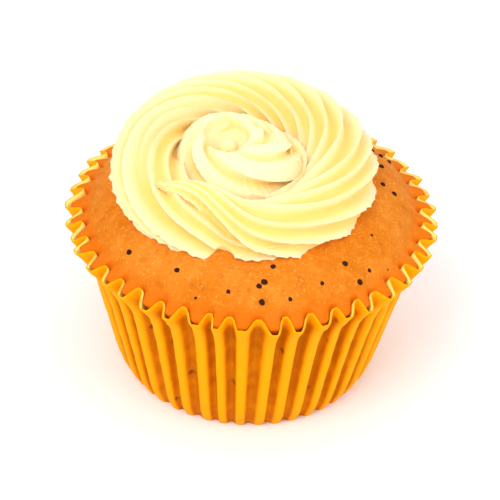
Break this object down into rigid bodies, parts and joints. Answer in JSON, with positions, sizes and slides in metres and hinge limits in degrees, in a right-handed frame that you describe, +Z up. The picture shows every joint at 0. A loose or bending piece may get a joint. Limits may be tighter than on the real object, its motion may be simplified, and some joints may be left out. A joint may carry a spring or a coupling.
{
  "type": "cupcake",
  "caption": "Poppy seed sponge cupcake in a pleated paper case, topped with a flat piped buttercream rosette.",
  "frame": {"origin": "centre of the paper case's flat underside", "axes": "+Z up through the cupcake, -Y towards the front, +X to the right"},
  "size_m": [0.075, 0.075, 0.0549],
  "materials": {
    "case_paper": "greaseproof paper, yellow orange, darker where it touches the sponge",
    "sponge": "matte baked crust, golden orange, with dark poppy seeds",
    "buttercream": "satin, pale yellow"
  },
  "bodies": {
    "root": {"paper_case": "case_paper", "sponge": "sponge", "buttercream": "buttercream"}
  },
  "joints": []
}
